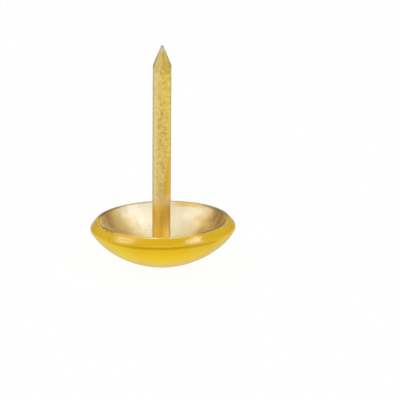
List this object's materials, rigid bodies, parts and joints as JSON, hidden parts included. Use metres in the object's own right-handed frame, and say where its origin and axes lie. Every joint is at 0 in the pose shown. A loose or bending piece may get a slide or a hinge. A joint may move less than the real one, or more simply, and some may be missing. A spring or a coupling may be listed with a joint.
{
  "type": "upholstery nail",
  "caption": "Domed, yellow-painted upholstery nail with a bevelled rim, a brass-plated hollow and a pointed wire shank, for fixing fabric or leather to wood.",
  "frame": {"origin": "middle of the small flat on the crown of the dome, on which the nail stands", "axes": "+Z along the shank to the point; a ridge of the point faces -Y"},
  "size_m": [0.011, 0.011, 0.017],
  "materials": {
    "yellow_enamel": "gloss enamel",
    "cap_plating": "thin brass plating over steel, satin, stained towards the rim",
    "wire_plating": "thin brass plating over drawn steel wire, pitted",
    "weld_metal": "plated weld metal, dull"
  },
  "bodies": {
    "root": {"cap_shell": "cap_plating", "enamel_coat": "yellow_enamel", "shank": "wire_plating", "weld_bead": "weld_metal"}
  },
  "joints": []
}
